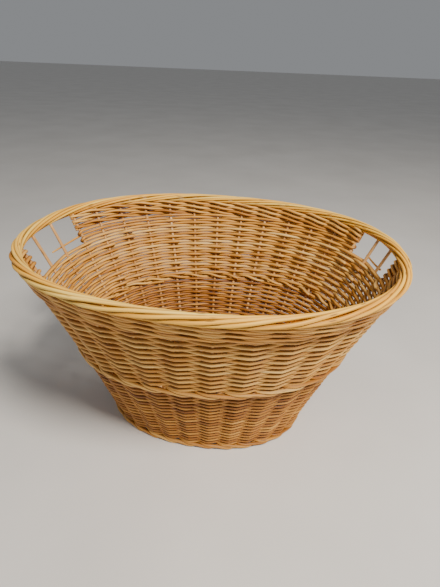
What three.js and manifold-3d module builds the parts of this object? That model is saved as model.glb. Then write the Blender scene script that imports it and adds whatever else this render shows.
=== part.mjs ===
// An oval willow basket with a cut-out handle in each end: a flat woven base, thirty-two upright stakes,
// bands of weaving with thicker wales between them, and a rolled border.
// Millimetres, +Z up, +X along the long axis. The origin is on the floor under the middle of the basket.
import * as THREE from "three";
import Module from "manifold-3d";
import { ParametricGeometry } from "three/addons/geometries/ParametricGeometry.js";
import { mergeVertices } from "three/addons/utils/BufferGeometryUtils.js";

const wasm = await Module();
wasm.setup();

// The wall: half sizes of the oval that the stakes stand on, at the floor and at the border.
const FLOOR_HALF_LENGTH = 175;
const FLOOR_HALF_WIDTH = 131;
const RIM_HALF_LENGTH = 311;
const RIM_HALF_WIDTH = 252;
const RIM_HEIGHT = 336;
const OVAL_EXPONENT = 2.2; // a little squarer than an ellipse
const WALL_HOLLOW = 0.16; // the wall flares faster towards the top
const ROW_TILT = 0.045; // the weaving climbs this share of the height towards its highest side
const HIGHEST_SIDE = 0.46; // radians from +X towards +Y

// Shares of the rim height at which one band of weaving ends and the next begins.
const FOOT_WALE_TOP = 0.062;
const LOWER_WEAVE_TOP = 0.502;
const MID_WALE_TOP = 0.557;
const HANDLE_SILL = 0.84;
const UPPER_WEAVE_TOP = 0.9;
const TOP_WALE_TOP = 0.96;

// Shares of the way round the rim, from +X towards +Y, of the stakes at the sides of each handle opening.
const RIGHT_HANDLE = [0.002, 0.084];
const LEFT_HANDLE = [0.45, 0.556];
const BACK_SPACES = 12;
const FRONT_SPACES = 14;
const HANDLE_SPACES = 3;

const STAKE_RADIUS = 3.2;
const STAKE_FOOT = 4;
const STAKE_TOP = 328;
const WEAVER = 4.2;
const GAP = 0.3;
const ROD_SIDES = 6;
const HOLE_SIDES = 4;
const STAKE_STEPS = 3;

const BORDER_STRANDS = 4;
const BORDER_TURNS = 10;
const STRAND_RADIUS = 3;
const STRAND_REACH = 6.8; // how far a strand's middle swings out and in
const STRAND_RISE = 4.5; // how far it swings up and down
const STRAND_SIDES = 5;
const STRAND_STEPS_PER_TURN = 7;

const BASE_UNDERSIDE = 8;
const BASE_THICKNESS = 8;
const CROSS_STICKS = 7;
const CROSS_STICK_SPACING = 38;
const CROSS_STICK_RADIUS = 3.5;
const LONG_STICKS = 3;
const LONG_STICK_SPACING = 24;
const LONG_STICK_RADIUS = 3;
const STICK_CLEARANCE = 2;

// The single rod left loose across each handle opening: the shares of the opening's length and of the wall's
// height at its two ends.
const LEFT_LOOSE_ROD = { from: 0.1, to: 0.48, firstShare: 0.858, lastShare: 0.852 };
const RIGHT_LOOSE_ROD = { from: 0.34, to: 0.74, firstShare: 0.874, lastShare: 0.884 };
const LOOSE_STEPS = 6;
const LOOSE_RADIUS = 2;
const LOOSE_SAG = 0.006;
const LOOSE_CLEARANCE = 0.8; // between it and the stakes it passes

const CURVE_PARTS = [0, 0.25, 0.5, 0.75, 1]; // where along a rod its curve has a point
const MERGE_DISTANCE = 1e-3;
const SLOPE_STEP = 1e-3; // the change of angle or share that the wall's direction is measured over
const TWIST_STEP = 1e-4; // the share of the rim that a strand's direction is measured over

const ROUGHNESS = 0.62;
const COLOURS = { rod: 0xc79a5f, fine: 0xb98b52, rim: 0xd3aa70, base: 0xb08450 };

const basket = new THREE.Group();

function addPiece(name, geometry, colour) {
  const material = new THREE.MeshStandardMaterial({ color: colour, roughness: ROUGHNESS, metalness: 0 });
  const mesh = new THREE.Mesh(geometry, material);
  mesh.name = name;
  basket.add(mesh);
}

// A geometry as a solid for cutting, turned right way out if its faces point inwards.
function solidOf(geometry) {
  const bare = geometry.clone();
  bare.deleteAttribute("normal");
  bare.deleteAttribute("uv");
  const merged = mergeVertices(bare, MERGE_DISTANCE);
  const triVerts = new Uint32Array(merged.index.array);
  const build = () =>
    new wasm.Manifold(
      new wasm.Mesh({ numProp: 3, vertProperties: merged.attributes.position.array, triVerts }),
    );
  const solid = build();
  if (solid.volume() > 0) return solid;
  triVerts.reverse();
  return build();
}

function geometryOf(solid) {
  const mesh = solid.getMesh();
  const positions = new Float32Array(mesh.numVert * 3);
  for (let i = 0; i < mesh.numVert; i += 1) {
    const first = i * mesh.numProp;
    positions.set(mesh.vertProperties.subarray(first, first + 3), i * 3);
  }
  return new THREE.BufferGeometry()
    .setAttribute("position", new THREE.BufferAttribute(positions, 3))
    .setIndex(new THREE.BufferAttribute(mesh.triVerts, 1));
}

// A point of an oval with these half sizes, at an angle in radians from +X towards +Y.
function ovalPoint(halfLength, halfWidth, angle, target = new THREE.Vector2()) {
  const squared = (value) => Math.sign(value) * Math.abs(value) ** (2 / OVAL_EXPONENT);
  return target.set(halfLength * squared(Math.cos(angle)), halfWidth * squared(Math.sin(angle)));
}

// The middle of the wall at an angle and a share of the rim height.
function wallMiddle(angle, share) {
  const flare = share * (1 - WALL_HOLLOW * (1 - share));
  const halfLength = THREE.MathUtils.lerp(FLOOR_HALF_LENGTH, RIM_HALF_LENGTH, flare);
  const halfWidth = THREE.MathUtils.lerp(FLOOR_HALF_WIDTH, RIM_HALF_WIDTH, flare);
  const flat = ovalPoint(halfLength, halfWidth, angle);
  return new THREE.Vector3(flat.x, flat.y, RIM_HEIGHT * share);
}

// A point off the middle of the wall, square to it and outwards.
function wallPoint(angle, share, outwards) {
  const along = wallMiddle(angle + SLOPE_STEP, share).sub(wallMiddle(angle - SLOPE_STEP, share));
  const up = wallMiddle(angle, share + SLOPE_STEP).sub(wallMiddle(angle, share - SLOPE_STEP));
  const normal = along.cross(up).normalize();
  return wallMiddle(angle, share).addScaledVector(normal, outwards);
}

// The share of the height at which a row of weaving that is level on average passes this angle.
function tiltedShare(angle, share) {
  return share + ROW_TILT * Math.cos(angle - HIGHEST_SIDE) * 4 * share * (1 - share);
}

// The angle at which a share of the rim's length has been walked, from +X towards +Y.
const RIM_STEPS = 1440;
const rimWalk = [0];
for (let i = 1; i <= RIM_STEPS; i += 1) {
  const angles = [i - 1, i].map((k) => (k / RIM_STEPS) * 2 * Math.PI);
  const ends = angles.map((angle) => ovalPoint(RIM_HALF_LENGTH, RIM_HALF_WIDTH, angle));
  rimWalk.push(rimWalk[i - 1] + ends[0].distanceTo(ends[1]));
}

function rimAngle(share) {
  const whole = Math.floor(share);
  const length = (share - whole) * rimWalk[RIM_STEPS];
  const after = rimWalk.findIndex((walked) => walked > length);
  const part = (length - rimWalk[after - 1]) / (rimWalk[after] - rimWalk[after - 1]);
  return (whole + (after - 1 + part) / RIM_STEPS) * 2 * Math.PI;
}

// Shares of the way round at which the stakes stand, group by group: right handle, back, left handle, front.
function stakeShares() {
  const groups = [
    [RIGHT_HANDLE[0], RIGHT_HANDLE[1], HANDLE_SPACES],
    [RIGHT_HANDLE[1], LEFT_HANDLE[0], BACK_SPACES],
    [LEFT_HANDLE[0], LEFT_HANDLE[1], HANDLE_SPACES],
    [LEFT_HANDLE[1], 1 + RIGHT_HANDLE[0], FRONT_SPACES],
  ];
  return groups.flatMap(([from, to, spaces]) =>
    Array.from({ length: spaces }, (_, k) => from + ((to - from) * k) / spaces),
  );
}

const shares = stakeShares();
const stakeAngles = shares.map(rimAngle);

// A straight-sided rod along a curve. The radius is that of its corners.
function rodGeometry(curve, radius, steps, sides = ROD_SIDES) {
  const corners = Array.from({ length: sides }, (_, i) => {
    const turn = (i / sides) * 2 * Math.PI;
    return new THREE.Vector2(radius * Math.cos(turn), radius * Math.sin(turn));
  });
  return new THREE.ExtrudeGeometry(new THREE.Shape(corners), { steps, extrudePath: curve });
}

function stakeCurve(angle, bottom, top) {
  const points = CURVE_PARTS.map((part) =>
    wallMiddle(angle, THREE.MathUtils.lerp(bottom, top, part) / RIM_HEIGHT),
  );
  return new THREE.CatmullRomCurve3(points);
}

// The square holes that the stakes stand in.
const HOLE_RADIUS = (STAKE_RADIUS + GAP) * Math.SQRT2;
const stakeHoles = wasm.Manifold.union(
  stakeAngles.map((angle) => {
    const curve = stakeCurve(angle, STAKE_FOOT - GAP, STAKE_TOP + GAP);
    return solidOf(rodGeometry(curve, HOLE_RADIUS, STAKE_STEPS, HOLE_SIDES));
  }),
);

// How far the weaving stands off the middle of the wall: most at a stake, least half-way to the next.
const AT_STAKE = STAKE_RADIUS + WEAVER;
const BETWEEN_STAKES = WEAVER;

// The places round the wall that a band's corners stand at: each stake, and half-way to the next one.
const aroundPlaces = shares.flatMap((share, i) => {
  const next = i + 1 < shares.length ? shares[i + 1] : 1 + shares[0];
  return [
    { angle: stakeAngles[i], stand: AT_STAKE },
    { angle: rimAngle((share + next) / 2), stand: BETWEEN_STAKES },
  ];
});

// A corner of a band's section: outside or inside, at its lower or upper edge, clear of the bands next to it.
function bandCorner(place, outside, upper, bottom, top) {
  const edge = tiltedShare(place.angle, upper ? top : bottom);
  const share = edge + (upper ? -GAP : GAP) / 2 / RIM_HEIGHT;
  return wallPoint(place.angle, share, outside ? place.stand : -place.stand);
}

// A band of weaving all the way round, with a hole for each stake.
function ringBand(bottom, top, standsOnFloor = false) {
  const corners = [[true, false], [true, true], [false, true], [false, false]];
  const surface = (section, around, target) => {
    const [outside, upper] = corners[Math.round(section * corners.length) % corners.length];
    const place = aroundPlaces[Math.round(around * aroundPlaces.length) % aroundPlaces.length];
    target.copy(bandCorner(place, outside, upper, bottom, top));
    if (standsOnFloor && !upper) target.z = 0;
  };
  const ring = new ParametricGeometry(surface, corners.length, aroundPlaces.length);
  return geometryOf(solidOf(ring).subtract(stakeHoles));
}

// A band that runs from one handle to the other, round the stakes at both of its ends.
function sideBand(bottom, top, firstStake, spaces) {
  const turn = AT_STAKE / rimWalk[RIM_STEPS];
  const places = Array.from(
    { length: 2 * spaces + 1 },
    (_, k) => aroundPlaces[(2 * firstStake + k) % aroundPlaces.length],
  );
  const endPlace = (stake, sign) => ({
    angle: rimAngle(shares[stake % shares.length] + sign * turn),
    stand: BETWEEN_STAKES,
  });
  places.unshift(endPlace(firstStake, -1));
  places.push(endPlace(firstStake + spaces, 1));
  const segments = places.length - 1;
  const strip = new THREE.BoxGeometry(1, 1, 1, segments, 1, 1);
  const positions = strip.attributes.position;
  for (let i = 0; i < positions.count; i += 1) {
    const place = places[Math.round((positions.getX(i) + 0.5) * segments)];
    const corner = bandCorner(place, positions.getY(i) > 0, positions.getZ(i) > 0, bottom, top);
    positions.setXYZ(i, corner.x, corner.y, corner.z);
  }
  return geometryOf(solidOf(strip).subtract(stakeHoles));
}

// One strand of the rolled border, twisting round the line of the rim.
function borderStrand(phase) {
  const segments = BORDER_TURNS * STRAND_STEPS_PER_TURN;
  const centre = (around) => {
    const angle = rimAngle(around);
    const twist = (around * BORDER_TURNS + phase) * 2 * Math.PI;
    const place = wallPoint(angle, 1, 0);
    const outwards = wallPoint(angle, 1, 1).sub(place).setZ(0).normalize();
    return place
      .addScaledVector(outwards, STRAND_REACH * Math.cos(twist))
      .add(new THREE.Vector3(0, 0, STRAND_RISE * Math.sin(twist)));
  };
  const surface = (section, around, target) => {
    const wrapped = around % 1;
    const middle = centre(wrapped);
    const along = centre((wrapped + TWIST_STEP) % 1).sub(middle).normalize();
    const side = new THREE.Vector3(0, 0, 1).cross(along).normalize();
    const up = along.clone().cross(side);
    const turn = (section % 1) * 2 * Math.PI;
    target
      .copy(middle)
      .addScaledVector(side, STRAND_RADIUS * Math.cos(turn))
      .addScaledVector(up, STRAND_RADIUS * Math.sin(turn));
  };
  return geometryOf(solidOf(new ParametricGeometry(surface, STRAND_SIDES, segments)));
}

// The base: an oval sheet of weaving that holds cross sticks in its underside and long sticks in its top.
function stickCurve(from, to) {
  return new THREE.LineCurve3(new THREE.Vector3(...from), new THREE.Vector3(...to));
}

// Half the length of a straight line across the base oval, at a distance from its middle.
function halfChord(halfAlong, halfAcross, distance) {
  return halfAlong * (1 - Math.abs(distance / halfAcross) ** OVAL_EXPONENT) ** (1 / OVAL_EXPONENT);
}

const STICK_ZONE_LENGTH = FLOOR_HALF_LENGTH - AT_STAKE - STICK_CLEARANCE;
const STICK_ZONE_WIDTH = FLOOR_HALF_WIDTH - AT_STAKE - STICK_CLEARANCE;

function crossSticks() {
  const z = BASE_UNDERSIDE;
  return Array.from({ length: CROSS_STICKS }, (_, i) => {
    const x = (i - (CROSS_STICKS - 1) / 2) * CROSS_STICK_SPACING;
    const reach = halfChord(STICK_ZONE_WIDTH, STICK_ZONE_LENGTH, x);
    return { curve: stickCurve([x, -reach, z], [x, reach, z]), radius: CROSS_STICK_RADIUS };
  });
}

function longSticks() {
  const z = BASE_UNDERSIDE + BASE_THICKNESS;
  return Array.from({ length: LONG_STICKS }, (_, i) => {
    const y = (i - (LONG_STICKS - 1) / 2) * LONG_STICK_SPACING;
    const reach = halfChord(STICK_ZONE_LENGTH, STICK_ZONE_WIDTH, y);
    return { curve: stickCurve([-reach, y, z], [reach, y, z]), radius: LONG_STICK_RADIUS };
  });
}

function baseWeave(sticks) {
  const rim = aroundPlaces.map((place) => {
    const edge = wallPoint(place.angle, BASE_UNDERSIDE / RIM_HEIGHT, -place.stand - GAP);
    return new THREE.Vector2(edge.x, edge.y);
  });
  const outline = new THREE.Shape(rim);
  const sheet = new THREE.ExtrudeGeometry(outline, { depth: BASE_THICKNESS, bevelEnabled: false });
  sheet.translate(0, 0, BASE_UNDERSIDE);
  const grooves = sticks.map((stick) => solidOf(rodGeometry(stick.curve, stick.radius + GAP, 1)));
  return geometryOf(solidOf(sheet).subtract(wasm.Manifold.union(grooves)));
}

// A single rod that crosses a handle opening, outside its exposed stakes.
function looseWeaver(handle, { from, to, firstShare, lastShare }) {
  const points = CURVE_PARTS.map((part) => {
    const across = THREE.MathUtils.lerp(handle[0], handle[1], THREE.MathUtils.lerp(from, to, part));
    const share = THREE.MathUtils.lerp(firstShare, lastShare, part) - LOOSE_SAG * Math.sin(part * Math.PI);
    return wallPoint(rimAngle(across), share, STAKE_RADIUS + LOOSE_RADIUS + LOOSE_CLEARANCE);
  });
  return rodGeometry(new THREE.CatmullRomCurve3(points), LOOSE_RADIUS, LOOSE_STEPS);
}

const backFirst = HANDLE_SPACES;
const leftFirst = backFirst + BACK_SPACES;
const frontFirst = leftFirst + HANDLE_SPACES;

stakeAngles.forEach((angle, i) => {
  const name = "stake_" + String(i + 1).padStart(2, "0");
  const curve = stakeCurve(angle, STAKE_FOOT, STAKE_TOP);
  addPiece(name, rodGeometry(curve, STAKE_RADIUS, STAKE_STEPS), COLOURS.rod);
});

addPiece("foot_wale", ringBand(0, FOOT_WALE_TOP, true), COLOURS.rod);
addPiece("lower_weave", ringBand(FOOT_WALE_TOP, LOWER_WEAVE_TOP), COLOURS.fine);
addPiece("mid_wale", ringBand(LOWER_WEAVE_TOP, MID_WALE_TOP), COLOURS.rod);
addPiece("upper_weave", ringBand(MID_WALE_TOP, HANDLE_SILL), COLOURS.rod);
addPiece("upper_weave_back", sideBand(HANDLE_SILL, UPPER_WEAVE_TOP, backFirst, BACK_SPACES), COLOURS.rod);
addPiece("upper_weave_front", sideBand(HANDLE_SILL, UPPER_WEAVE_TOP, frontFirst, FRONT_SPACES), COLOURS.rod);
addPiece("top_wale_back", sideBand(UPPER_WEAVE_TOP, TOP_WALE_TOP, backFirst, BACK_SPACES), COLOURS.rod);
addPiece("top_wale_front", sideBand(UPPER_WEAVE_TOP, TOP_WALE_TOP, frontFirst, FRONT_SPACES), COLOURS.rod);

addPiece("loose_weaver_left", looseWeaver(LEFT_HANDLE, LEFT_LOOSE_ROD), COLOURS.rod);
addPiece("loose_weaver_right", looseWeaver(RIGHT_HANDLE, RIGHT_LOOSE_ROD), COLOURS.rod);

for (let i = 0; i < BORDER_STRANDS; i += 1) {
  addPiece("border_strand_" + (i + 1), borderStrand(i / BORDER_STRANDS), COLOURS.rim);
}

const across = crossSticks();
const lengthwise = longSticks();
addPiece("base_weave", baseWeave([...across, ...lengthwise]), COLOURS.base);
across.forEach((stick, i) => {
  addPiece("base_cross_stick_" + (i + 1), rodGeometry(stick.curve, stick.radius, 1), COLOURS.base);
});
lengthwise.forEach((stick, i) => {
  addPiece("base_long_stick_" + (i + 1), rodGeometry(stick.curve, stick.radius, 1), COLOURS.base);
});

export default basket;
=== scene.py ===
"""The looks of a wicker log basket: every willow rod of the walls, border and base is its own round tube.

Lengths are in metres. X runs along the basket, Y from its front to its back, and Z up from the floor.
A place on the wall is given by a stake number (0 to 32 round the basket, whole numbers at the stakes),
a share of the wall's height, and a distance outwards from the middle of the wall.
"""
import math
from collections import namedtuple

import bpy
import numpy as np
from mathutils import Matrix, Vector


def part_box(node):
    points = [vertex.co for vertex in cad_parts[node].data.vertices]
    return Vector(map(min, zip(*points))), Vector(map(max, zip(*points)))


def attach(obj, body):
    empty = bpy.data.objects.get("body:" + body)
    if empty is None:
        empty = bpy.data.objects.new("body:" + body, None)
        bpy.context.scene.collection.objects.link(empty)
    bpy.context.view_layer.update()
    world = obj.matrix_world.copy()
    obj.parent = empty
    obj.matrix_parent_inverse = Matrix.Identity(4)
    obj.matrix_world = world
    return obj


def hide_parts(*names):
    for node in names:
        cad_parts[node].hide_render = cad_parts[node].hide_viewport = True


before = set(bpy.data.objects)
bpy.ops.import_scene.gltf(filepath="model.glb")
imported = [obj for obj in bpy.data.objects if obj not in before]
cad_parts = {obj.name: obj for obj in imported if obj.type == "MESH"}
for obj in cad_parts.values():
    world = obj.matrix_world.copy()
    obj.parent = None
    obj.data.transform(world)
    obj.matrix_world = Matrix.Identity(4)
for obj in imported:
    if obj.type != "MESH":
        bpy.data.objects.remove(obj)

MM = 0.001
TAU = 2 * math.pi
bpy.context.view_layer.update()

SEED = 20261117
random = np.random.default_rng(SEED)

# The wall: an oval that widens and leans out from the floor to the rim. Its rows climb towards one side.
FLOOR_HALF_LENGTH = 175 * MM
FLOOR_HALF_WIDTH = 131 * MM
RIM_HALF_LENGTH = 311 * MM
RIM_HALF_WIDTH = 252 * MM
RIM_HEIGHT = 336 * MM
OVAL_EXPONENT = 2.2
WALL_HOLLOW = 0.16
ROW_TILT = 0.045
HIGHEST_SIDE = 0.46
RIM_STEPS = 1440
SLOPE_STEP = 1e-3

# The bands of weave, as shares of the wall's height.
LOWER_WEAVE_START = 0.034
LOWER_WEAVE_TOP = 0.505
MID_WALE_TOP = 0.528
UPPER_WEAVE_TOP = 0.9
TOP_WALE_TOP = 0.981

# The stakes: each handle opening's share of the rim, and the spaces between stakes on each side.
RIGHT_HANDLE = (0.002, 0.084)
LEFT_HANDLE = (0.45, 0.556)
BACK_SPACES = 12
FRONT_SPACES = 14
HANDLE_SPACES = 3
STAKES = BACK_SPACES + FRONT_SPACES + 2 * HANDLE_SPACES
BACK_PANEL = (HANDLE_SPACES, HANDLE_SPACES + BACK_SPACES)
FRONT_PANEL = (STAKES - FRONT_SPACES, STAKES)
STAKE_FOOT = 4 * MM
STAKE_TOP = 328 * MM
STAKE_FOOT_RADIUS = 3.0 * MM
STAKE_TOP_RADIUS = 2.7 * MM


# ---------------------------------------------------------------- the wall's shape

def oval_point(half_length, half_width, angle):
    cosine, sine = np.cos(angle), np.sin(angle)
    power = 2 / OVAL_EXPONENT
    x = half_length * np.sign(cosine) * np.abs(cosine) ** power
    y = half_width * np.sign(sine) * np.abs(sine) ** power
    return x, y


def wall_middle(angle, share):
    flare = share * (1 - WALL_HOLLOW * (1 - share))
    half_length = FLOOR_HALF_LENGTH + (RIM_HALF_LENGTH - FLOOR_HALF_LENGTH) * flare
    half_width = FLOOR_HALF_WIDTH + (RIM_HALF_WIDTH - FLOOR_HALF_WIDTH) * flare
    x, y = oval_point(half_length, half_width, angle)
    return np.stack([x, y, RIM_HEIGHT * share + 0 * x], axis=-1)


def unit(vectors):
    return vectors / np.linalg.norm(vectors, axis=-1, keepdims=True)


def running_total(steps):
    return np.concatenate([[0], np.cumsum(steps)])


def wall_normal(angle, share):
    along = wall_middle(angle + SLOPE_STEP, share) - wall_middle(angle - SLOPE_STEP, share)
    rising = wall_middle(angle, share + SLOPE_STEP) - wall_middle(angle, share - SLOPE_STEP)
    return unit(np.cross(along, rising))


def wall_point(angle, share, outwards=0.0):
    angle, share, outwards = np.broadcast_arrays(angle, share, outwards)
    return wall_middle(angle, share) + wall_normal(angle, share) * outwards[..., None]


def tilted_share(angle, share):
    return share + ROW_TILT * np.cos(angle - HIGHEST_SIDE) * 4 * share * (1 - share)


def rim_table():
    """Angles round the rim, and the share of the rim's length walked from +X at each."""
    angles = np.linspace(0, TAU, RIM_STEPS + 1)
    x, y = oval_point(RIM_HALF_LENGTH, RIM_HALF_WIDTH, angles)
    walked = running_total(np.hypot(np.diff(x), np.diff(y)))
    return angles, walked / walked[-1]


RIM_ANGLES, RIM_SHARES = rim_table()


def stake_shares():
    """The share of the rim at each stake, with the first stake's again one lap on."""
    sides = (
        (RIGHT_HANDLE[0], RIGHT_HANDLE[1], HANDLE_SPACES),
        (RIGHT_HANDLE[1], LEFT_HANDLE[0], BACK_SPACES),
        (LEFT_HANDLE[0], LEFT_HANDLE[1], HANDLE_SPACES),
        (LEFT_HANDLE[1], RIGHT_HANDLE[0] + 1, FRONT_SPACES),
    )
    shares = [start + (end - start) * k / spaces for start, end, spaces in sides for k in range(spaces)]
    return np.array(shares + [RIGHT_HANDLE[0] + 1])


STAKE_SHARES = stake_shares()


def angle_at(stake):
    """The angle round the oval at a stake number."""
    stake = np.asarray(stake, dtype=float)
    laps = np.floor(stake / STAKES)
    walked = np.interp(stake - laps * STAKES, np.arange(STAKES + 1), STAKE_SHARES)
    whole = np.floor(walked)
    return np.interp(walked - whole, RIM_SHARES, RIM_ANGLES) + TAU * (laps + whole)


def weave_point(stake, share, outwards, climb):
    """A point in the weave; climb is an extra height."""
    angle = angle_at(stake)
    return wall_point(angle, tilted_share(angle, share) + climb / RIM_HEIGHT, outwards)


def weave_facing(stake, share):
    """The way the wall faces at places in the weave."""
    angle = angle_at(stake)
    return wall_normal(angle, tilted_share(angle, share))


def smooth(value):
    value = np.clip(value, 0, 1)
    return value * value * (3 - 2 * value)


SAMPLES_A_SPACE = 8


def spaced(start, end, samples_a_space=SAMPLES_A_SPACE):
    """Stake numbers from start to end, close enough together for a smooth rod."""
    return np.linspace(start, end, int(round((end - start) * samples_a_space)) + 1)


# ---------------------------------------------------------------- rods and pieces

ROD_SIDES = 8
UPWARDS = (0, 0, 1)
# A cut end: a smaller ring past the end, and a point just past that, as shares of the rod's radius.
ROUNDED_LENGTH = 0.35
ROUNDED_SHARE = 0.65
POLE_LENGTH = 0.1
# A rod gets painted shade from where its surface turns away from the wall's face towards its neighbours:
# the cosine of that turn.
PAINTED_SHADE_START = 0.85
# How far each rod's wood is moved within the grain, so that no two rods look the same.
GRAIN_SHIFT = 3


def ends_repeated(values):
    return np.vstack([values[:1], values, values[-1:]])


def with_rounded_ends(path, radii, reference):
    """A rod's rings, with a smaller one past each end: their middles, radii, directions and references."""
    path = np.asarray(path, dtype=float)
    radii = np.broadcast_to(radii, len(path)).astype(float)
    reference = np.broadcast_to(reference, path.shape)
    tangent = unit(np.gradient(path, axis=0))
    before = path[:1] - tangent[:1] * radii[0] * ROUNDED_LENGTH
    after = path[-1:] + tangent[-1:] * radii[-1] * ROUNDED_LENGTH
    path = np.vstack([before, path, after])
    radii = np.concatenate([radii[:1] * ROUNDED_SHARE, radii, radii[-1:] * ROUNDED_SHARE])
    return path, radii, ends_repeated(tangent), ends_repeated(reference)


def tube_faces(first, rings, sides):
    """The faces of a tube whose points start at a number: its sides, and the fans that close its ends."""
    index = first + np.arange(rings * sides).reshape(rings, sides)
    following = np.roll(index, -1, axis=1)
    quads = np.stack([index[:-1], index[1:], following[1:], following[:-1]], axis=-1).reshape(-1, 4)
    first_pole = first + rings * sides
    last_pole = first_pole + 1
    first_fan = np.stack([np.full(sides, first_pole), index[0], following[0]], axis=-1)
    last_fan = np.stack([np.full(sides, last_pole), following[-1], index[-1]], axis=-1)
    return quads, np.vstack([first_fan, last_fan])


def add_attribute(mesh, name, kind, field, values):
    mesh.attributes.new(name, kind, "POINT").data.foreach_set(field, values.astype(np.float32).ravel())


class Rods:
    """Round rods with rounded cut ends, collected into one mesh.

    Each point carries "grain", its place in the rod's own wood, "tone", how pale its rod is, and a value
    for
    painted shade: 1 where it faces its neighbours and 0 where it faces straight out of the weave."""

    def __init__(self):
        self.points, self.quads, self.fans = [], [], []
        self.grain, self.tone, self.crevice = [], [], []
        self.count = 0

    def add(self, path, radii, tone, reference=UPWARDS, sides=ROD_SIDES, facing=None):
        """Adds a rod along a path. The reference is a direction that the path never runs along."""
        path, radii, tangent, reference = with_rounded_ends(path, radii, reference)
        side = unit(np.cross(tangent, reference))
        up = np.cross(side, tangent)
        turn = np.arange(sides) * TAU / sides
        rings = len(path)
        ring = np.cos(turn)[None, :, None] * side[:, None] + np.sin(turn)[None, :, None] * up[:, None]
        points = path[:, None] + ring * radii[:, None, None]
        first_pole = path[0] - tangent[0] * radii[0] * POLE_LENGTH
        last_pole = path[-1] + tangent[-1] * radii[-1] * POLE_LENGTH

        length = running_total(np.linalg.norm(np.diff(path, axis=0), axis=1))
        grain = np.empty((rings, sides, 3))
        grain[..., 0] = length[:, None]
        grain[..., 1] = radii[:, None] * np.cos(turn)
        grain[..., 2] = radii[:, None] * np.sin(turn)
        pole_grain = np.array([[length[0], 0, 0], [length[-1], 0, 0]])
        shift = random.uniform(0, GRAIN_SHIFT, 3)

        # Painted shade: the sides of the rod that turn towards its neighbours are marked for darkening.
        crevice = np.zeros((rings, sides))
        if facing is not None:
            straight = np.abs(np.einsum("rsk,rk->rs", ring, ends_repeated(facing)))
            crevice = smooth((PAINTED_SHADE_START - straight) / PAINTED_SHADE_START)

        quads, fans = tube_faces(self.count, rings, sides)
        self.points.append(np.vstack([points.reshape(-1, 3), first_pole, last_pole]))
        self.grain.append(np.vstack([grain.reshape(-1, 3), pole_grain]) + shift)
        self.tone.append(np.full(rings * sides + 2, np.clip(tone, 0, 1)))
        self.crevice.append(np.concatenate([crevice.ravel(), [0, 0]]))
        self.quads.append(quads)
        self.fans.append(fans)
        self.count += rings * sides + 2

    def mesh(self, name):
        points = np.vstack(self.points)
        quads, fans = np.vstack(self.quads), np.vstack(self.fans)
        corners = np.concatenate([quads.ravel(), fans.ravel()])
        sizes = np.concatenate([np.full(len(quads), 4), np.full(len(fans), 3)])
        starts = running_total(sizes)[:-1]
        mesh = bpy.data.meshes.new(name)
        mesh.vertices.add(len(points))
        mesh.vertices.foreach_set("co", points.astype(np.float32).ravel())
        mesh.loops.add(len(corners))
        mesh.loops.foreach_set("vertex_index", corners.astype(np.int32))
        mesh.polygons.add(len(sizes))
        mesh.polygons.foreach_set("loop_start", starts.astype(np.int32))
        mesh.polygons.foreach_set("loop_total", sizes.astype(np.int32))
        mesh.update(calc_edges=True)
        mesh.shade_smooth()
        add_attribute(mesh, "grain", "FLOAT_VECTOR", "vector", np.vstack(self.grain))
        add_attribute(mesh, "tone", "FLOAT", "value", np.concatenate(self.tone))
        add_attribute(mesh, "crevice", "FLOAT", "value", np.concatenate(self.crevice))
        return mesh

    def piece(self, name, material, slot, node):
        """Makes the piece that stands for the named solid."""
        mesh = self.mesh(name)
        mesh.materials.append(material)
        made = bpy.data.objects.new(name, mesh)
        bpy.context.scene.collection.objects.link(made)
        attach(made, "root")
        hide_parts(node)


# ---------------------------------------------------------------- shader nodes

# Most of a noise's values lie between these two.
NOISE_LOW = 0.3
NOISE_HIGH = 0.7
# The places of a Mix node's sockets for colours, which share their names with its sockets for numbers.
MIX_FACTOR = 0
MIX_FIRST = 6
MIX_SECOND = 7
MIX_RESULT = 2


def colour(text):
    """A colour written as #RRGGBB, as the linear values a shader takes."""
    parts = [int(text[k : k + 2], 16) / 255 for k in (1, 3, 5)]
    return [p / 12.92 if p <= 0.04045 else ((p + 0.055) / 1.055) ** 2.4 for p in parts] + [1]


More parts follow.
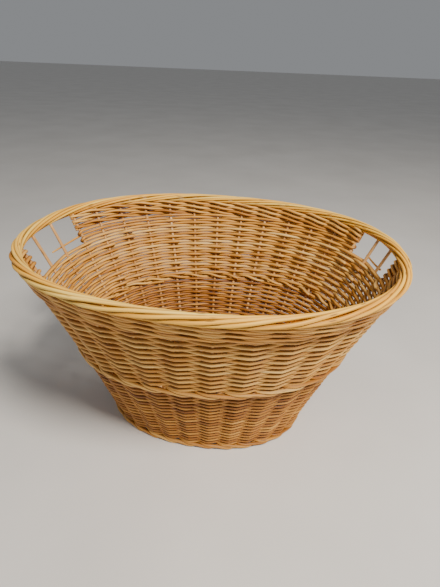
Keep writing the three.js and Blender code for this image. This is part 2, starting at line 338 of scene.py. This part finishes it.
class Shader:
    """A material's node tree, built one node at a time."""

    def __init__(self, name):
        self.material = bpy.data.materials.new(name)
        self.material.use_nodes = True
        self.tree = self.material.node_tree
        self.surface = self.tree.nodes["Principled BSDF"]

    def node(self, kind, settings=(), **inputs):
        made = self.tree.nodes.new(kind)
        for key, value in dict(settings).items():
            setattr(made, key, value)
        for key, value in inputs.items():
            self.put(made.inputs[key.replace("_", " ")], value)
        return made

    def put(self, socket, value):
        if isinstance(value, bpy.types.NodeSocket):
            self.tree.links.new(value, socket)
        else:
            socket.default_value = value

    def attribute(self, name, output):
        return self.node("ShaderNodeAttribute", {"attribute_name": name}).outputs[output]

    def stretched(self, vector, scale):
        return self.node("ShaderNodeMapping", Vector=vector, Scale=scale).outputs["Vector"]

    def noise(self, vector, scale, detail=3.0):
        place = self.stretched(vector, scale)
        return self.node("ShaderNodeTexNoise", Vector=place, Scale=1.0, Detail=detail).outputs["Fac"]

    def cells(self, vector, scale):
        """Distances from scattered points."""
        place = self.stretched(vector, scale)
        return self.node("ShaderNodeTexVoronoi", Vector=place, Scale=1.0).outputs["Distance"]

    def maths(self, operation, first, second):
        made = self.node("ShaderNodeMath", {"operation": operation})
        self.put(made.inputs[0], first)
        self.put(made.inputs[1], second)
        return made.outputs["Value"]

    def ramp(self, factor, stops):
        made = self.node("ShaderNodeValToRGB", Fac=factor)
        elements = made.color_ramp.elements
        while len(elements) < len(stops):
            elements.new(0.5)
        for element, (place, tint) in zip(elements, stops):
            element.position = place
            element.color = tint
        return made.outputs["Color"]

    def mix(self, factor, first, second, how="MIX"):
        made = self.node("ShaderNodeMix", {"data_type": "RGBA", "blend_type": how})
        self.put(made.inputs[MIX_FACTOR], factor)
        self.put(made.inputs[MIX_FIRST], first)
        self.put(made.inputs[MIX_SECOND], second)
        return made.outputs[MIX_RESULT]

    def spread(self, value, to_low, to_high, low=NOISE_LOW, high=NOISE_HIGH):
        """Stretches the values between low and high over the range from to_low to to_high."""
        made = self.node("ShaderNodeMapRange", Value=value, From_Min=low, From_Max=high)
        self.put(made.inputs["To Min"], to_low)
        self.put(made.inputs["To Max"], to_high)
        return made.outputs["Result"]


# ---------------------------------------------------------------- willow

# Scales of the grain: along a rod, and the two ways across it.
FIBRE_SCALE = (16, 950, 950)
FIBRE_DETAIL = 4.0
CLOUD_SCALE = (11, 70, 70)
DRIFT_SCALE = (3.5, 12, 12)
DRIFT_DETAIL = 2.0
SCAR_SCALE = (24, 170, 170)
# How much the clouds and the slow drift change a rod's tone.
CLOUD_TONE = 0.16
DRIFT_TONE = 0.08
# The fibres' dark streaks, the leaf scars, and the painted shade between the rods.
STREAK_STOPS = ((0.32, (0.58, 0.5, 0.42, 1)), (0.58, (1, 1, 1, 1)))
STREAK_STRENGTH = 0.55
SCAR_EDGES = (0.1, 0.2)
SCAR_STRENGTH = 0.75
SCAR = "#6B4220"
PAINTED_SHADE_TINT = (0.2, 0.1, 0.035, 1)
# How strongly the painted shade darkens each kind of rod.
WEAVE_PAINTED_SHADE = 0.95
BORDER_PAINTED_SHADE = 0.72
# The skin: how much its roughness varies, its relief, and its gloss.
ROUGHNESS_SPREAD = 0.2
BUMP_HEIGHT = 0.4 * MM
BUMP_STRENGTH = 0.6
COAT_WEIGHT = 0.04
COAT_ROUGHNESS = 0.4
SPECULAR_LEVEL = 0.4


def willow(name, tones, roughness, painted_shade_strength):
    """Peeled willow: long fibres, cloudy patches, leaf scars and a satin skin, with painted shade where
    rods face their neighbours.
    """
    shader = Shader(name)
    surface = shader.surface
    grain = shader.attribute("grain", "Vector")
    fibres = shader.noise(grain, FIBRE_SCALE, FIBRE_DETAIL)
    clouds = shader.noise(grain, CLOUD_SCALE)
    drift = shader.noise(grain, DRIFT_SCALE, DRIFT_DETAIL)
    scars = shader.spread(shader.cells(grain, SCAR_SCALE), SCAR_STRENGTH, 0.0, *SCAR_EDGES)

    paleness = shader.attribute("tone", "Fac")
    paleness = shader.maths("ADD", paleness, shader.spread(clouds, -CLOUD_TONE, CLOUD_TONE))
    paleness = shader.maths("ADD", paleness, shader.spread(drift, -DRIFT_TONE, DRIFT_TONE))
    wood = shader.ramp(paleness, [(k / (len(tones) - 1), colour(tint)) for k, tint in enumerate(tones)])
    wood = shader.mix(STREAK_STRENGTH, wood, shader.ramp(fibres, STREAK_STOPS), "MULTIPLY")
    wood = shader.mix(scars, wood, colour(SCAR))
    # Painted shade: the sides of the rods that face their neighbours are multiplied towards dark brown.
    crevice = shader.maths("MULTIPLY", shader.attribute("crevice", "Fac"), painted_shade_strength)
    wood = shader.mix(crevice, wood, PAINTED_SHADE_TINT, "MULTIPLY")
    shader.put(surface.inputs["Base Color"], wood)

    shader.put(surface.inputs["Roughness"], shader.spread(clouds, roughness, roughness + ROUGHNESS_SPREAD))
    height = shader.maths("SUBTRACT", shader.maths("ADD", fibres, clouds), scars)
    bump = shader.node("ShaderNodeBump", Height=height, Distance=BUMP_HEIGHT, Strength=BUMP_STRENGTH)
    shader.put(surface.inputs["Normal"], bump.outputs["Normal"])
    surface.inputs["Coat Weight"].default_value = COAT_WEIGHT
    surface.inputs["Coat Roughness"].default_value = COAT_ROUGHNESS
    surface.inputs["Specular IOR Level"].default_value = SPECULAR_LEVEL
    return shader.material


# Each kind of rod from its darkest tone to its palest.
WEAVING_TONES = ("#935818", "#B9792A", "#DC9F46", "#F0BE66", "#F8D68A")
STAKE_TONES = ("#8A5A2B", "#B98548", "#D6A566", "#E6BE88", "#F0D5A6")
BORDER_TONES = ("#965412", "#D08A28", "#F2B03C", "#FFC54A", "#FFD668")

WEAVING = willow("willow_weaving", WEAVING_TONES, 0.42, WEAVE_PAINTED_SHADE)
FINE = willow("willow_fine", WEAVING_TONES, 0.45, WEAVE_PAINTED_SHADE)
STAKE = willow("willow_stakes", STAKE_TONES, 0.42, WEAVE_PAINTED_SHADE)
BORDER = willow("willow_border", BORDER_TONES, 0.48, BORDER_PAINTED_SHADE)
BASE = willow("willow_base", STAKE_TONES, 0.5, WEAVE_PAINTED_SHADE)


# ---------------------------------------------------------------- stakes

STAKE_RINGS = 41
STAKE_SIDES = 12
# A stake's sway to the sides and its changes in thickness, with the radians of each wave from foot to top.
STAKE_SWAY = 0.25 * MM
STAKE_SWAY_WAVES = (9, 15)
STAKE_UNEVENNESS = 0.03
STAKE_UNEVENNESS_WAVE = 21
STAKE_TONE_RANGE = (0.3, 0.7)


def make_stakes():
    height = np.linspace(STAKE_FOOT, STAKE_TOP, STAKE_RINGS)
    part = (height - STAKE_FOOT) / (STAKE_TOP - STAKE_FOOT)
    for number in range(STAKES):
        angle = angle_at(float(number))
        outwards = (math.cos(angle), math.sin(angle), 0)
        sideways = np.array([math.sin(angle), -math.cos(angle), 0])
        sway = STAKE_SWAY * np.sin(part * random.uniform(*STAKE_SWAY_WAVES) + random.uniform(0, TAU))
        path = wall_point(np.full(STAKE_RINGS, angle), height / RIM_HEIGHT) + sway[:, None] * sideways
        unevenness = STAKE_UNEVENNESS * np.sin(part * STAKE_UNEVENNESS_WAVE + random.uniform(0, TAU))
        radii = (STAKE_FOOT_RADIUS + (STAKE_TOP_RADIUS - STAKE_FOOT_RADIUS) * part) * (1 + unevenness)
        rods = Rods()
        rods.add(path, radii, random.uniform(*STAKE_TONE_RANGE), outwards, STAKE_SIDES)
        rods.piece("willow_stake_%02d" % (number + 1), STAKE, "stake_rods", "stake_%02d" % (number + 1))


# ---------------------------------------------------------------- rows of plain weave

LOWER_ROWS = 34
UPPER_RING_ROWS = 19
UPPER_PANEL_ROWS = 4
LOWER_RADIUS = 2.65 * MM
UPPER_RADIUS = 3.1 * MM
LOWER_TONE = 0.3
UPPER_TONE = 0.55
# The panel rows' tone is partly their own and partly painted shade from the border above them.
PANEL_SHADED_TONE = 0.5
TONE_VARIATION = 0.1

# A rod in a row: how deep it presses into the stakes, how much thinner it is between them, how straight it
# runs from one to the next, and its thickness at its butt, at its tip, and from one rod to another.
PRESSED = 1.9 * MM
SQUEEZE = 0.07
STRAIGHTNESS = 0.75
BUTT_SHARE = 1.07
TIP_SHARE = 0.93
THICKNESS_RANGE = (0.95, 1.05)

# A row's rise and fall: its waves in a lap, and how much they shift from one row to the next.
WANDER = 0.5 * MM
LONG_WAVES = 3
LONG_WAVE_SHIFT = 0.21
SHORT_WAVES = 7
SHORT_WAVE_SHIFT = 0.33
SHORT_WAVE_SHARE = 0.7

# A joint, in spaces between stakes: how far the rods overlap, and how soon the new one joins the row. It
# starts inside the row by a depth in rod radii, and a row's second rod begins some pairs of stakes on.
JOINT_OVERLAP = 0.24
JOINT_MERGE = 0.6
JOINT_DEPTH = 1.7
JOINT_STAKE_PAIRS = (6, 11)

# A panel's single rod: its thickness at its two ends, the points of each of its turns round the last stake,
# and the width of the space there.
PANEL_BUTT_SHARE = 1.05
PANEL_TIP_SHARE = 0.92
TURN_POINTS = 9
STAKE_SPACE = 48 * MM


def row_swing(stake):
    """In front of every other stake and behind the next: 1 and -1 in turn."""
    triangle = 2 * np.abs(2 * (stake / 2 - np.floor(stake / 2 + 0.5))) - 1
    return (1 - STRAIGHTNESS) * np.cos(math.pi * stake) - STRAIGHTNESS * triangle


def squeeze(stake):
    """A rod is fuller at the stakes, and pressed thinner half-way between, where the rows cross."""
    return 1 + SQUEEZE * np.cos(TAU * stake)


def row_wander(stake, row, phases):
    """Slow rises and falls of a row, nearly the same in neighbouring rows so that they don't cross."""
    turns = TAU * stake / STAKES
    long_wave = np.sin(LONG_WAVES * turns + phases[0] + row * LONG_WAVE_SHIFT)
    short_wave = np.sin(SHORT_WAVES * turns + phases[1] - row * SHORT_WAVE_SHIFT)
    return WANDER * (long_wave + SHORT_WAVE_SHARE * short_wave)


def add_ring_row(rods, row, share, radius, phases, tone):
    """One row right round the basket, of two rods joined behind stakes."""
    parity = 1 if row % 2 == 0 else -1
    first = int(random.integers(0, STAKES // 2)) * 2 + (1 if parity > 0 else 0)
    middle = first + 2 * int(random.integers(*JOINT_STAKE_PAIRS))
    joints = [first, middle, first + STAKES]
    reach = STAKE_FOOT_RADIUS + (STAKE_TOP_RADIUS - STAKE_FOOT_RADIUS) * share + radius - PRESSED
    for start, end in zip(joints[:-1], joints[1:]):
        stake = spaced(start - JOINT_OVERLAP, end + JOINT_OVERLAP)
        part = (stake - stake[0]) / (stake[-1] - stake[0])
        inwards = JOINT_DEPTH * radius * (1 - smooth((stake - stake[0]) / JOINT_MERGE))
        thickness = random.uniform(*THICKNESS_RANGE)
        radii = radius * (BUTT_SHARE + (TIP_SHARE - BUTT_SHARE) * part) * thickness * squeeze(stake)
        outwards = parity * reach * row_swing(stake) - inwards
        path = weave_point(stake, share, outwards, row_wander(stake, row, phases))
        rod_tone = tone + random.normal(0, TONE_VARIATION)
        rods.add(path, radii, rod_tone, facing=weave_facing(stake, share))


def add_panel_rows(rods, panel, share, pitch, phases):
    """One rod that weaves to and fro between the two stakes at the sides of the openings."""
    start, end = panel
    reach = STAKE_TOP_RADIUS + UPPER_RADIUS - PRESSED
    turn = np.linspace(0, math.pi, TURN_POINTS)[1:-1]
    points, facings = [], []
    for k in range(UPPER_PANEL_ROWS):
        row = UPPER_RING_ROWS + k
        parity = 1 if row % 2 == 0 else -1
        level = share + pitch * k
        if k % 2 == 0:
            stake, edge, onwards = spaced(start, end), end, 1
        else:
            stake, edge, onwards = spaced(start, end)[::-1], start, -1
        outwards = parity * reach * row_swing(stake)
        points.append(weave_point(stake, level, outwards, row_wander(stake, row, phases)))
        facings.append(weave_facing(stake, level))
        if k < UPPER_PANEL_ROWS - 1:
            beyond = edge + onwards * np.sin(turn) * reach / STAKE_SPACE
            outwards = parity * row_swing(edge) * reach * np.cos(turn)
            rising = level + pitch * turn / math.pi
            points.append(weave_point(beyond, rising, outwards, row_wander(edge, row, phases)))
            facings.append(weave_facing(beyond, level))
    path = np.vstack(points)
    radii = np.linspace(UPPER_RADIUS * PANEL_BUTT_SHARE, UPPER_RADIUS * PANEL_TIP_SHARE, len(path))
    rods.add(path, radii, PANEL_SHADED_TONE, facing=np.vstack(facings))


# ---------------------------------------------------------------- wales of three rods

# A round of wale: its place up the wall, its rods' radius, how far they rise and fall, and how far they
# stand out where they are low.
Wale = namedtuple("Wale", "share radius lift standing tone")
FOOT_WALE = Wale(share=9.1 * MM / RIM_HEIGHT, radius=2.7 * MM, lift=2.5 * MM, standing=1.2 * MM, tone=0.45)
MID_WALE_MIDDLE = (LOWER_WEAVE_TOP + MID_WALE_TOP) / 2
MID_WALE = Wale(share=MID_WALE_MIDDLE, radius=2.9 * MM, lift=3.2 * MM, standing=0.6 * MM, tone=0.6)
TOP_WALE_ROUNDS = 3
TOP_WALE_RADIUS = 2.95 * MM
TOP_WALE_LIFT = 2.5 * MM
# The top wale's tone is partly its own and partly painted shade from the border above it.
TOP_WALE_SHADED_TONE = 0.5
# How far the top wale's rods run past a panel's last stakes, in spaces between stakes.
TOP_WALE_PAST = 0.1

WALE_RODS = 3
WALE_ROD_SPACES = 12
WALE_CLEARANCE = 0.5 * MM
WALE_JOINT_DEPTH = 1.5
# A wale rod's thickness at its butt, and how much less it is at its tip, round a ring and in a panel.
RING_BUTT_SHARE = 1.06
RING_TAPER = 0.14
WALE_PANEL_BUTT_SHARE = 1.04
WALE_PANEL_TAPER = 0.1

# A wale rod's fall and rise, in spaces between stakes from the stake that it passes behind.
FALL_START = 0.8
FALL_LENGTH = 1.4
RISE_START = 2.6
RISE_LENGTH = 0.8


def wale_swing(turn):
    """Behind one stake and in front of two: -1 at turn 0, and 1 at turns 1 and 2, every three stakes."""
    turn = np.mod(turn, WALE_RODS)
    leaving = smooth(turn)
    coming = smooth(WALE_RODS - turn)
    return -1 + 2 * np.minimum(leaving, coming)


def wale_height(turn):
    """1 where a rod comes out over the others, and -1 where it goes back in."""
    turn = np.mod(turn, WALE_RODS)
    rise_end = RISE_START + RISE_LENGTH - WALE_RODS
    falling = 1 - 2 * smooth((turn - FALL_START) / FALL_LENGTH)
    rising = -1 + 2 * smooth((turn - RISE_START) / RISE_LENGTH)
    still_rising = -1 + 2 * smooth((turn + WALE_RODS - RISE_START) / RISE_LENGTH)
    return np.where(turn > RISE_START, rising, np.where(turn < rise_end, still_rising, falling))


def add_wale_ring(rods, wale):
    """One round of three rods, which is a single closed line three laps long."""
    reach = STAKE_FOOT_RADIUS + wale.radius + WALE_CLEARANCE
    joints = list(range(0, WALE_RODS * STAKES + 1, WALE_ROD_SPACES))
    for start, end in zip(joints[:-1], joints[1:]):
        turn = spaced(start - JOINT_OVERLAP, end + JOINT_OVERLAP)
        part = (turn - turn[0]) / (turn[-1] - turn[0])
        inwards = WALE_JOINT_DEPTH * wale.radius * (1 - smooth((turn - turn[0]) / JOINT_MERGE))
        level = wale_height(turn)
        outwards = reach * wale_swing(turn) + wale.standing * np.clip(-level, 0, 1) - inwards
        path = weave_point(turn, wale.share, outwards, wale.lift * level)
        facing = weave_facing(turn, wale.share)
        radii = wale.radius * (RING_BUTT_SHARE - RING_TAPER * part)
        rods.add(path, radii, wale.tone + random.normal(0, TONE_VARIATION), facing=facing)


def add_wale_panel(rods, panel, share):
    """One round of three rods between two openings, each rod ending round the last stake."""
    start, end = panel
    reach = STAKE_TOP_RADIUS + TOP_WALE_RADIUS
    stake = spaced(start - TOP_WALE_PAST, end + TOP_WALE_PAST)
    part = (stake - stake[0]) / (stake[-1] - stake[0])
    beyond = np.clip(np.maximum(start - stake, stake - end) / TOP_WALE_PAST, 0, 1)
    facing = weave_facing(stake, share)
    radii = TOP_WALE_RADIUS * (WALE_PANEL_BUTT_SHARE - WALE_PANEL_TAPER * part)
    for rod in range(WALE_RODS):
        outwards = reach * wale_swing(stake - rod) * np.cos(beyond * math.pi / 2)
        path = weave_point(stake, share, outwards, TOP_WALE_LIFT * wale_height(stake - rod))
        rods.add(path, radii, TOP_WALE_SHADED_TONE + random.normal(0, TONE_VARIATION), facing=facing)


# ---------------------------------------------------------------- the walls

def make_wale(name, wale, node):
    rods = Rods()
    add_wale_ring(rods, wale)
    rods.piece(name, WEAVING, "weaving_rods", node)


def make_lower_weave():
    phases = random.uniform(0, TAU, 2)
    pitch = (LOWER_WEAVE_TOP - LOWER_WEAVE_START) / LOWER_ROWS
    rods = Rods()
    for row in range(LOWER_ROWS):
        add_ring_row(rods, row, LOWER_WEAVE_START + pitch * (row + 0.5), LOWER_RADIUS, phases, LOWER_TONE)
    rods.piece("lower_rows", FINE, "fine_rods", "lower_weave")


def make_panel(side, panel, pitch, phases):
    """The rows and the top wale between the two openings, on one side of the basket."""
    rows = Rods()
    add_panel_rows(rows, panel, MID_WALE_TOP + pitch * (UPPER_RING_ROWS + 0.5), pitch, phases)
    rows.piece("upper_rows_" + side, WEAVING, "weaving_rods", "upper_weave_" + side)
    wale = Rods()
    height = (TOP_WALE_TOP - UPPER_WEAVE_TOP) / TOP_WALE_ROUNDS
    for k in range(TOP_WALE_ROUNDS):
        add_wale_panel(wale, panel, UPPER_WEAVE_TOP + height * (k + 0.5))
    wale.piece("top_wale_rods_" + side, WEAVING, "weaving_rods", "top_wale_" + side)


def make_upper_weave():
    phases = random.uniform(0, TAU, 2)
    pitch = (UPPER_WEAVE_TOP - MID_WALE_TOP) / (UPPER_RING_ROWS + UPPER_PANEL_ROWS)
    rods = Rods()
    for row in range(UPPER_RING_ROWS):
        add_ring_row(rods, row, MID_WALE_TOP + pitch * (row + 0.5), UPPER_RADIUS, phases, UPPER_TONE)
    rods.piece("upper_rows", WEAVING, "weaving_rods", "upper_weave")
    make_panel("back", BACK_PANEL, pitch, phases)
    make_panel("front", FRONT_PANEL, pitch, phases)


# ---------------------------------------------------------------- the rolled border

# A border rod runs across this many spaces between stakes, and a little past.
BORDER_RODS_ACROSS = 7
BORDER_PAST = 0.15
BORDER_PIECES = 4
BORDER_SIDES = 10
BORDER_SAMPLES_A_SPACE = 10
BORDER_HALF_WIDTH = 8.9 * MM
BORDER_HALF_HEIGHT = 8.6 * MM
BORDER_DROP = 1.4 * MM
BORDER_BUTT_RADIUS = 3.05 * MM
BORDER_TIP_RADIUS = 2.35 * MM
BORDER_OVAL_STEPS = 361
# A rod climbs the outer side quickly and crosses the top slowly: shares of its run, and of its turn there.
BORDER_RUN = (0, 0.1, 0.32, 1)
BORDER_TURNED = (0, 0.1, 0.37, 1)
LAST_TURNED = 0.999
# The rods aren't laid evenly: how much their turn and their distance from the border's middle vary, and the
# radians of each from one end to the other.
TURN_UNEVENNESS = 0.013
TURN_WAVE = 9
WIDTH_UNEVENNESS = 0.05
WIDTH_WAVE = 13
# The outer top edge, where a rod goes over the ones below it, stands out.
BORDER_BULGE = 0.9 * MM
BULGE_TURNED = 0.27
BULGE_LENGTH = 0.1
BORDER_TONE = 0.78
BORDER_TONE_VARIATION = 0.13


def border_offsets(turned):
    """How far out and up a border rod is after a share of its turn, in even steps round its oval."""
    steps = np.linspace(-math.pi / 2, 1.5 * math.pi, BORDER_OVAL_STEPS)
    radius = (BORDER_BUTT_RADIUS + BORDER_TIP_RADIUS) / 2
    across = (BORDER_HALF_WIDTH - radius) * np.cos(steps)
    above = (BORDER_HALF_HEIGHT - radius) * np.sin(steps)
    walked = running_total(np.hypot(np.diff(across), np.diff(above)))
    walked /= walked[-1]
    return np.interp(turned, walked, across), np.interp(turned, walked, above)


def add_border_rod(rods, number):
    """One stake's rod, which goes once round the border's oval as it runs past the next stakes."""
    stake = spaced(number, number + BORDER_RODS_ACROSS + BORDER_PAST, BORDER_SAMPLES_A_SPACE)
    part = (stake - number) / BORDER_RODS_ACROSS
    unevenness = np.sin(part * TURN_WAVE + random.uniform(0, TAU)) + random.normal(0, 1)
    turned = np.interp(part, BORDER_RUN, BORDER_TURNED) + TURN_UNEVENNESS * unevenness
    turned = np.clip(turned, 0.0, LAST_TURNED)
    across, above = border_offsets(turned)
    across = across * (1 + WIDTH_UNEVENNESS * np.sin(part * WIDTH_WAVE + random.uniform(0, TAU)))
    across += BORDER_BULGE * np.exp(-(((turned - BULGE_TURNED) / BULGE_LENGTH) ** 2))
    angle = angle_at(stake)
    outwards = wall_normal(angle, 1.0)
    outwards[:, 2] = 0
    outwards = unit(outwards)
    facing = outwards * across[:, None]
    path = wall_point(angle, 1.0) + facing
    path[:, 2] += above - BORDER_DROP
    facing[:, 2] = above
    radii = np.interp(part, [0, 1], [BORDER_BUTT_RADIUS, BORDER_TIP_RADIUS])
    tone = random.normal(BORDER_TONE, BORDER_TONE_VARIATION)
    rods.add(path, radii, tone, outwards, BORDER_SIDES, unit(facing))


def make_border():
    strands = [Rods() for _ in range(BORDER_PIECES)]
    for number in range(STAKES):
        add_border_rod(strands[number % BORDER_PIECES], number)
    for k, rods in enumerate(strands):
        rods.piece("border_rods_%d" % (k + 1), BORDER, "rim_rods", "border_strand_%d" % (k + 1))


# ---------------------------------------------------------------- loose rods across the openings

# Where a loose rod begins and ends, as shares of its opening and of the wall's height.
LooseRod = namedtuple("LooseRod", "handle begin end first_height last_height")
LEFT_LOOSE_ROD = LooseRod(LEFT_HANDLE, begin=-0.01, end=0.48, first_height=0.858, last_height=0.852)
RIGHT_LOOSE_ROD = LooseRod(RIGHT_HANDLE, begin=0.34, end=0.74, first_height=0.874, last_height=0.884)
LOOSE_RINGS = 33
LOOSE_RADIUS = 2.0 * MM
LOOSE_TIP_SHARE = 0.75
LOOSE_SAG = 0.006
LOOSE_CLEARANCE = 0.8 * MM
LOOSE_TONE = 0.6


def make_loose_rod(side, loose):
    """A rod that has sprung out of the weave and lies across an opening, outside its bare stakes."""
    start, end = loose.handle
    part = np.linspace(0, 1, LOOSE_RINGS)
    walked = start + (end - start) * (loose.begin + (loose.end - loose.begin) * part)
    angle = np.interp(walked, RIM_SHARES, RIM_ANGLES)
    share = loose.first_height + (loose.last_height - loose.first_height) * part
    share = share - LOOSE_SAG * np.sin(part * math.pi)
    path = wall_point(angle, share, STAKE_FOOT_RADIUS + LOOSE_RADIUS + LOOSE_CLEARANCE)
    rods = Rods()
    rods.add(path, np.linspace(LOOSE_RADIUS, LOOSE_RADIUS * LOOSE_TIP_SHARE, LOOSE_RINGS), LOOSE_TONE)
    rods.piece("loose_rod_" + side, WEAVING, "weaving_rods", "loose_weaver_" + side)


# ---------------------------------------------------------------- the base

# A set of parallel sticks. Its axis is the one that they lie along, 0 for X and 1 for Y, and its wave is
# how fast their thickness changes, in radians a metre.
Sticks = namedtuple("Sticks", "name axis count spacing radius level rings wave")
CROSS_STICKS = Sticks(
    "cross_stick", axis=1, count=7, spacing=38 * MM, radius=3.5 * MM, level=9 * MM, rings=25, wave=60
)
LONG_STICKS = Sticks(
    "long_stick", axis=0, count=3, spacing=24 * MM, radius=3 * MM, level=15 * MM, rings=31, wave=50
)
STICK_SIDES = 12
STICK_UNEVENNESS = 0.03
STICK_TONE_RANGE = (0.3, 0.6)

BASE_ROW_RADIUS = 2.2 * MM
BASE_ROW_PITCH = 5.0 * MM
BASE_MARGIN = 5 * MM
BASE_ROWS = int((FLOOR_HALF_WIDTH - BASE_MARGIN) / BASE_ROW_PITCH)
BASE_ROW_STEPS = 260
BASE_ROW_START = 0.3
BASE_ROW_LOWEST = BASE_ROW_RADIUS + 1.5 * MM
BASE_THICKNESS_RANGE = (0.93, 1.05)
BASE_TONE = 0.5
BASE_TONE_VARIATION = 0.12


def stick_places(sticks):
    return [(k - (sticks.count - 1) / 2) * sticks.spacing for k in range(sticks.count)]


def make_sticks(sticks):
    for k, place in enumerate(stick_places(sticks)):
        name = "%s_%d" % (sticks.name, k + 1)
        low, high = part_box("base_" + name)
        start, end = low[sticks.axis] + sticks.radius, high[sticks.axis] - sticks.radius
        along = np.linspace(start, end, sticks.rings)
        path = np.empty((sticks.rings, 3))
        path[:, sticks.axis] = along
        path[:, 1 - sticks.axis] = place
        path[:, 2] = sticks.level
        radii = sticks.radius * (1 + STICK_UNEVENNESS * np.sin(along * sticks.wave + k))
        rods = Rods()
        rods.add(path, radii, random.uniform(*STICK_TONE_RANGE), sides=STICK_SIDES)
        rods.piece(name, BASE, "base_rods", "base_" + name)


def stick_crossings(x, y):
    """Where an oval row crosses the sticks: the place in the row, and the level of the stick there."""
    found = []
    for values, sticks in ((x, CROSS_STICKS), (y, LONG_STICKS)):
        for place in stick_places(sticks):
            before, after = values[:-1] - place, values[1:] - place
            for index in np.nonzero(before * after < 0)[0]:
                found.append((index + before[index] / (before[index] - after[index]), sticks.level))
    return sorted(found)


def base_row_heights(crossings, first_side):
    """The heights of a closed row that goes over one stick and under the next; first_side is 1 or -1."""
    sides = first_side * (-1) ** np.arange(len(crossings))
    places = np.array([place for place, _ in crossings])
    levels = np.array([level for _, level in crossings]) + sides * (CROSS_STICKS.radius + BASE_ROW_RADIUS)
    places = np.concatenate([[places[-1] - BASE_ROW_STEPS], places, [places[0] + BASE_ROW_STEPS]])
    levels = np.concatenate([[levels[-1]], levels, [levels[0]]])
    index = np.arange(BASE_ROW_STEPS + 1)
    found = np.clip(np.searchsorted(places, index) - 1, 0, len(places) - 2)
    share = smooth((index - places[found]) / (places[found + 1] - places[found]))
    heights = levels[found] + (levels[found + 1] - levels[found]) * share
    return np.maximum(heights, BASE_ROW_LOWEST)


def make_base_weave():
    """Oval rows, each over one stick and under the next, from the walls in to the middle."""
    rods = Rods()
    angle = np.linspace(BASE_ROW_START, BASE_ROW_START + TAU, BASE_ROW_STEPS + 1)
    for row in range(BASE_ROWS):
        inset = BASE_MARGIN + row * BASE_ROW_PITCH
        x, y = oval_point(FLOOR_HALF_LENGTH - inset, FLOOR_HALF_WIDTH - inset, angle)
        z = base_row_heights(stick_crossings(x, y), 1 if row % 2 == 0 else -1)
        radius = BASE_ROW_RADIUS * random.uniform(*BASE_THICKNESS_RANGE)
        rods.add(np.stack([x, y, z], axis=-1), radius, random.normal(BASE_TONE, BASE_TONE_VARIATION))
    rods.piece("base_rows", BASE, "base_rods", "base_weave")


# ---------------------------------------------------------------- the setting

FLOOR_REACH = 25.0
FLOOR_CLOUD_SCALE = (3, 3, 3)
FLOOR_STOPS = ((NOISE_LOW, (0.60, 0.58, 0.55, 1)), (NOISE_HIGH, (0.66, 0.64, 0.61, 1)))
FLOOR_ROUGHNESS = 0.75
ROOM_TINT = (0.93, 0.96, 1.0, 1)
ROOM_STRENGTH = 0.27
LIGHT_TARGET = (0, 0, 0.15)
Light = namedtuple("Light", "name place size power tint")
LIGHTS = (
    Light("key", place=(1.05, -1.0, 2.15), size=0.7, power=101, tint=(1.0, 0.94, 0.86)),
    Light("fill", place=(-1.6, -1.2, 1.4), size=2.0, power=2.5, tint=(0.94, 0.97, 1.0)),
)


def make_floor():
    shader = Shader("pale_floor")
    place = shader.node("ShaderNodeTexCoord").outputs["Object"]
    tint = shader.ramp(shader.noise(place, FLOOR_CLOUD_SCALE), FLOOR_STOPS)
    shader.put(shader.surface.inputs["Base Color"], tint)
    shader.surface.inputs["Roughness"].default_value = FLOOR_ROUGHNESS
    mesh = bpy.data.meshes.new("floor")
    corners = [(x * FLOOR_REACH, y * FLOOR_REACH, 0) for x, y in ((-1, -1), (1, -1), (1, 1), (-1, 1))]
    mesh.from_pydata(corners, [], [(0, 1, 2, 3)])
    mesh.materials.append(shader.material)
    floor = bpy.data.objects.new("floor", mesh)
    bpy.context.scene.collection.objects.link(floor)


def make_light(light):
    lamp = bpy.data.lights.new(light.name, "AREA")
    lamp.shape = "DISK"
    lamp.size = light.size
    lamp.energy = light.power
    lamp.color = light.tint
    thing = bpy.data.objects.new(light.name, lamp)
    bpy.context.scene.collection.objects.link(thing)
    thing.location = light.place
    aim = Vector(LIGHT_TARGET) - Vector(light.place)
    thing.rotation_euler = aim.to_track_quat("-Z", "Y").to_euler()


def make_room():
    world = bpy.data.worlds.new("soft_room")
    bpy.context.scene.world = world
    world.use_nodes = True
    background = world.node_tree.nodes["Background"]
    background.inputs["Color"].default_value = ROOM_TINT
    background.inputs["Strength"].default_value = ROOM_STRENGTH


def make_setting():
    make_floor()
    for light in LIGHTS:
        make_light(light)
    make_room()


CAMERA_PLACE = (0.12754, -0.68631, 0.60921)
CAMERA_FORWARD = (-0.13746, 0.87062, -0.47235)
CAMERA_UP = (-0.11054, 0.46042, 0.88079)
CAMERA_SENSOR = 36.0
CAMERA_LENS = 27.05


def make_camera():
    camera = bpy.data.cameras.new("camera")
    camera.sensor_width = CAMERA_SENSOR
    camera.lens = CAMERA_LENS
    forward = Vector(CAMERA_FORWARD).normalized()
    right = forward.cross(Vector(CAMERA_UP)).normalized()
    up = right.cross(forward).normalized()
    place = Matrix((right, up, -forward)).transposed().to_4x4()
    place.translation = Vector(CAMERA_PLACE)
    thing = bpy.data.objects.new("camera", camera)
    bpy.context.scene.collection.objects.link(thing)
    thing.matrix_world = place
    bpy.context.scene.camera = thing


# ---------------------------------------------------------------- the basket

make_camera()
make_setting()
make_stakes()
make_wale("foot_wale_rods", FOOT_WALE, "foot_wale")
make_lower_weave()
make_wale("mid_wale_rods", MID_WALE, "mid_wale")
make_upper_weave()
make_border()
make_loose_rod("left", LEFT_LOOSE_ROD)
make_loose_rod("right", RIGHT_LOOSE_ROD)
make_sticks(CROSS_STICKS)
make_sticks(LONG_STICKS)
make_base_weave()

bpy.context.view_layer.update()
